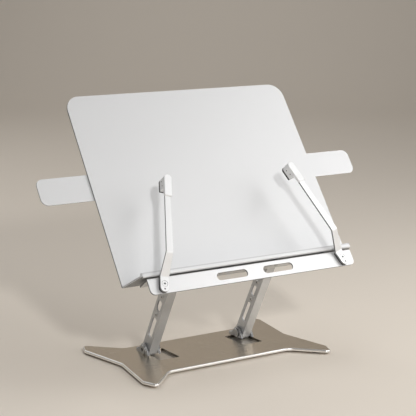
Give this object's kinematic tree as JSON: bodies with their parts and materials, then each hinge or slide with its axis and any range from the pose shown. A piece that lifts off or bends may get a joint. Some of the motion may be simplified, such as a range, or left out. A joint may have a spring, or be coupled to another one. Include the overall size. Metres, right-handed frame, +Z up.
{
  "type": "book stand",
  "caption": "Folding metal book stand with a plate base, hinged channel arms, a leaning panel with a slotted rail, swinging page clips and sliding side wings.",
  "frame": {"origin": "on the desk, in the middle of the stand's width and of its overall depth as set up", "axes": "+X across the stand to the reader's right, -Y towards the reader, +Z up"},
  "size_m": [0.454, 0.2098, 0.3268],
  "materials": {
    "base_metal": "satin bead-blasted steel, lightly reflective",
    "arm_metal": "satin brushed steel",
    "tray_aluminium": "fine satin anodised aluminium, near white",
    "fastener_steel": "bright turned steel",
    "cap_plastic": "light grey moulded plastic",
    "washer_plastic": "black nylon",
    "shim_plastic": "black plastic",
    "sole_rubber": "matt black rubber",
    "foot_rubber": "matt black rubber"
  },
  "bodies": {
    "base": {"base_plate": "base_metal", "base_feet": "foot_rubber", "base_bracket_left": "base_metal", "base_bracket_right": "base_metal", "base_bracket_screws": "fastener_steel", "base_pivot_screws": "fastener_steel", "base_pivot_nuts": "fastener_steel", "base_washers": "washer_plastic"},
    "arms": {"arm_left": "arm_metal", "arm_right": "arm_metal", "arm_lower_bushes": "fastener_steel", "arm_upper_bushes": "fastener_steel", "arm_spacers": "fastener_steel", "arm_rivets": "fastener_steel"},
    "tray": {"back_panel": "tray_aluminium", "front_rail": "tray_aluminium", "rail_spacers": "washer_plastic", "rail_rivets": "fastener_steel", "tray_bracket_left": "arm_metal", "tray_bracket_right": "arm_metal", "tray_bracket_screws": "fastener_steel", "tray_pivot_screws": "fastener_steel", "tray_pivot_nuts": "fastener_steel", "tray_washers": "washer_plastic", "wing_guide_left": "tray_aluminium", "wing_guide_right": "tray_aluminium", "guide_rivets": "fastener_steel", "clip_screws": "fastener_steel", "clip_nuts": "fastener_steel"},
    "wing_slide_left": {"wing_left": "tray_aluminium"},
    "wing_slide_right": {"wing_right": "tray_aluminium"},
    "clip_left": {"clip_bar_left": "tray_aluminium", "clip_cap_left": "cap_plastic", "clip_sole_left": "sole_rubber", "clip_shim_left": "shim_plastic"},
    "clip_right": {"clip_bar_right": "tray_aluminium", "clip_cap_right": "cap_plastic", "clip_sole_right": "sole_rubber", "clip_shim_right": "shim_plastic"}
  },
  "joints": [
    {"name": "arm_lift", "type": "hinge", "parent": "base", "child": "arms", "pos_m": [0, 0.03494, 0.012], "axis": [1, 0, 0], "range_deg": [-30, 40]},
    {"name": "tray_tilt", "type": "hinge", "parent": "arms", "child": "tray", "pos_m": [0, -0.03421, 0.13831], "axis": [-1, 0, 0], "range_deg": [-30, 90]},
    {"name": "wing_slide_left", "type": "slide", "parent": "tray", "child": "wing_slide_left", "axis": [-1, 0, 0], "range_m": [-0.065, 0.011]},
    {"name": "wing_slide_right", "type": "slide", "parent": "tray", "child": "wing_slide_right", "axis": [1, 0, 0], "range_m": [-0.065, 0.011]},
    {"name": "clip_swing_left", "type": "hinge", "parent": "tray", "child": "clip_left", "pos_m": [-0.127, -0.09521, 0.12796], "axis": [0, 0.8121, -0.5835], "range_deg": [-45, 43]},
    {"name": "clip_swing_right", "type": "hinge", "parent": "tray", "child": "clip_right", "pos_m": [0.127, -0.09521, 0.12796], "axis": [0, -0.8121, 0.5835], "range_deg": [-45, 43]}
  ]
}
